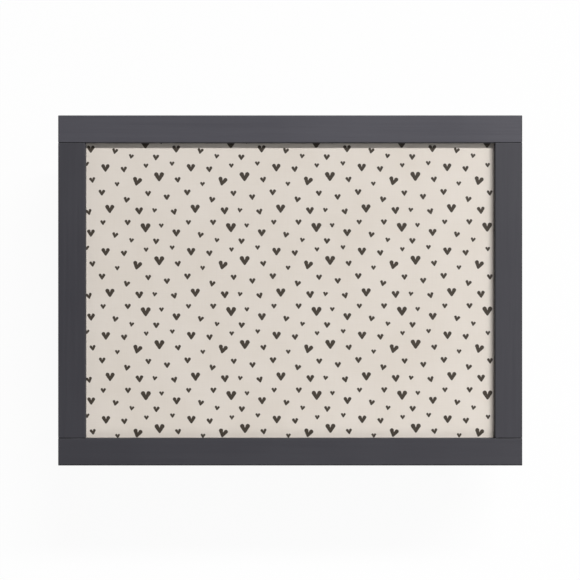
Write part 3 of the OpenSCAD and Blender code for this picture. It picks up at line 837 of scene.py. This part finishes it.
# %% [markdown]
# The weave has to follow the cloth over the rolls, so the piece gets its own map: the plan
# position, pushed outwards by the cloth that the drop to the seam takes up.

# %% Cloth map and cushion piece
def map_the_cloth(mesh):
    layer = mesh.uv_layers.new(name="cloth")
    for loop in mesh.loops:
        place = mesh.vertices[loop.vertex_index].co
        level = Vector((place.x, place.y))
        edge = cushion_high.z if place.z > seam_height else cushion_low.z
        extra = 0.6 * abs(edge - place.z)
        spread = level + level.normalized() * extra if level.length > 0 else level
        layer.data[loop.index].uv = spread * 1000


map_the_cloth(sewn)
for face in sewn.polygons:
    face.use_smooth = True
cushion = place_piece(sewn, "filled_cushion", "base", "cushion_cotton", "cushion")
finer = cushion.modifiers.new("finer", "SUBSURF")
finer.levels = finer.render_levels = 1


def cushion_cotton():
    cotton = Finish("cushion_cotton", (0.26, 0.255, 0.265), 0.88, Specular_IOR_Level=0.25, Sheen_Weight=0.25,
                    Sheen_Roughness=0.5)
    threads = cotton.add("ShaderNodeUVMap", {}, uv_map="cloth").outputs[0]
    weave = thread_weave(cotton, threads, 0.7)
    warp = cotton.cloud(cotton.vector("MULTIPLY", threads, (0.05, 1.6, 1.0)), 1.0, detail=3)
    weft = cotton.cloud(cotton.vector("MULTIPLY", threads, (1.6, 0.05, 1.0)), 1.0, detail=3, shift=21)
    slubs = cotton.number("MULTIPLY", cotton.number("ADD", warp, weft), 0.5)
    faded = cotton.cloud(cotton.spot, 0.02, detail=3, shift=8)
    yarn = cotton.mix(cotton.ramp(slubs, 0.38, 0.62), (0.215, 0.21, 0.22), (0.325, 0.32, 0.33))
    yarn = cotton.mix(cotton.ramp(weave, 0.2, 0.9, 0.35, 0), yarn, (0.13, 0.127, 0.135))
    cotton.colour(cotton.mix(cotton.ramp(faded, 0.35, 0.7, 0, 0.3), yarn, (0.33, 0.325, 0.335)))
    cotton.roughness(cotton.ramp(slubs, 0.3, 0.7, 0.82, 0.93))
    bump = cotton.relief(slubs, 0.15)
    cotton.normal(cotton.relief(weave, 0.16, under=bump))
    return cotton


cushion.data.materials.append(cushion_cotton().material)

# %% [markdown]
# ## Piping
# A thin cord in a sleeve of charcoal cotton is caught in the seam. It is a closed curve with a
# round section, taken along the seam at the distance where the CAD model has it.

# %% Piping piece
def piping_mesh(radius=0.0022, gap=0.0003, steps=360):
    data = bpy.data.curves.new("piping_line", "CURVE")
    data.dimensions = "3D"
    data.bevel_depth = radius
    data.bevel_resolution = 3
    spline = data.splines.new("POLY")
    spline.points.add(steps - 1)
    spline.use_cyclic_u = True
    for k, point in enumerate(spline.points):
        length = seam_lengths[-1] * k / steps
        turn = next(t for t, upto in zip(seam_turns, seam_lengths) if upto >= length - 1e-9)
        ahead = outline_point(turn + 0.008) - outline_point(turn - 0.008)
        out = Vector((ahead.y, -ahead.x)).normalized()
        place = outline_point(turn) + out * (gap + radius)
        point.co = (place.x, place.y, seam_height, 1)
        point.radius = 1 + 0.03 * noise.noise(Vector((length * 60, 0, 0)))
    line = bpy.data.objects.new("piping_line", data)
    bpy.context.scene.collection.objects.link(line)
    mesh = baked_mesh(line)
    mesh.name = "sewn_piping"
    bpy.data.objects.remove(line)
    for face in mesh.polygons:
        face.use_smooth = True
    return mesh


def piping_cotton():
    sleeve = Finish("piping_cotton", (0.06, 0.059, 0.066), 0.85, Specular_IOR_Level=0.25, Sheen_Weight=0.2,
                    Sheen_Roughness=0.5)
    bias = sleeve.add("ShaderNodeVectorRotate", {"Vector": sleeve.spot, "Angle": math.radians(45)},
                      rotation_type="Z_AXIS").outputs[0]
    weave = thread_weave(sleeve, bias, 0.5)
    slubs = sleeve.cloud(sleeve.spot, 1.8, detail=3)
    sleeve.colour(sleeve.mix(sleeve.ramp(slubs, 0.35, 0.65), (0.045, 0.044, 0.050), (0.080, 0.078, 0.086)))
    sleeve.normal(sleeve.relief(weave, 0.08))
    return sleeve


piping = place_piece(piping_mesh(), "sewn_piping", "base", "piping_cotton", "cushion_piping")
piping.data.materials.append(piping_cotton().material)

# %% [markdown]
# ## Hook-and-loop pads
# Four pads hold the cushion under the box: stiff hooks glued to the bottom board, and soft loops
# sewn to the cushion. They are cut from woven tape, so each is a slab like the felt's. The finish
# gives the hooks deep, wide rows, and the loops a shallower and closer nap.

# %% Tape pads
def tape_pads(node, name, grain):
    whole = bmesh.new()
    for low, high in islands(node):
        pad = finished(slab(low, high, 40, 18, bend=0.0003, nap=0.0001, grain=grain), "pad", smooth=False)
        whole.from_mesh(pad)
        bpy.data.meshes.remove(pad)
    mesh = bpy.data.meshes.new(name)
    whole.to_mesh(mesh)
    whole.free()
    return mesh


def hook_and_loop(name, per_mm, depth):
    tape = Finish(name, (0.03, 0.03, 0.03), 0.8, Specular_IOR_Level=0.3, Sheen_Weight=0.2,
                  Sheen_Roughness=0.5)
    rows = thread_weave(tape, tape.spot, per_mm)
    nap = tape.cloud(tape.spot, 2.5, detail=3)
    tape.colour(tape.mix(tape.number("MULTIPLY", rows, nap), (0.015, 0.015, 0.015), (0.07, 0.07, 0.07)))
    tape.normal(tape.relief(tape.number("ADD", rows, nap), depth))
    return tape


for node, name, grain, finish in (
        ("hook_pads", "hook_tape", 900, hook_and_loop("hook_tape", 1.2, 0.4)),
        ("loop_pads", "loop_tape", 500, hook_and_loop("loop_tape", 0.6, 0.25))):
    pads = place_piece(tape_pads(nodes[node], name, grain), name, "base", "hook_and_loop", node)
    pads.data.materials.append(finish.material)

# %% [markdown]
# ## Finishing
# Standard view keeps every colour as it is written.

# %% Standard view
bpy.context.scene.view_settings.view_transform = "Standard"
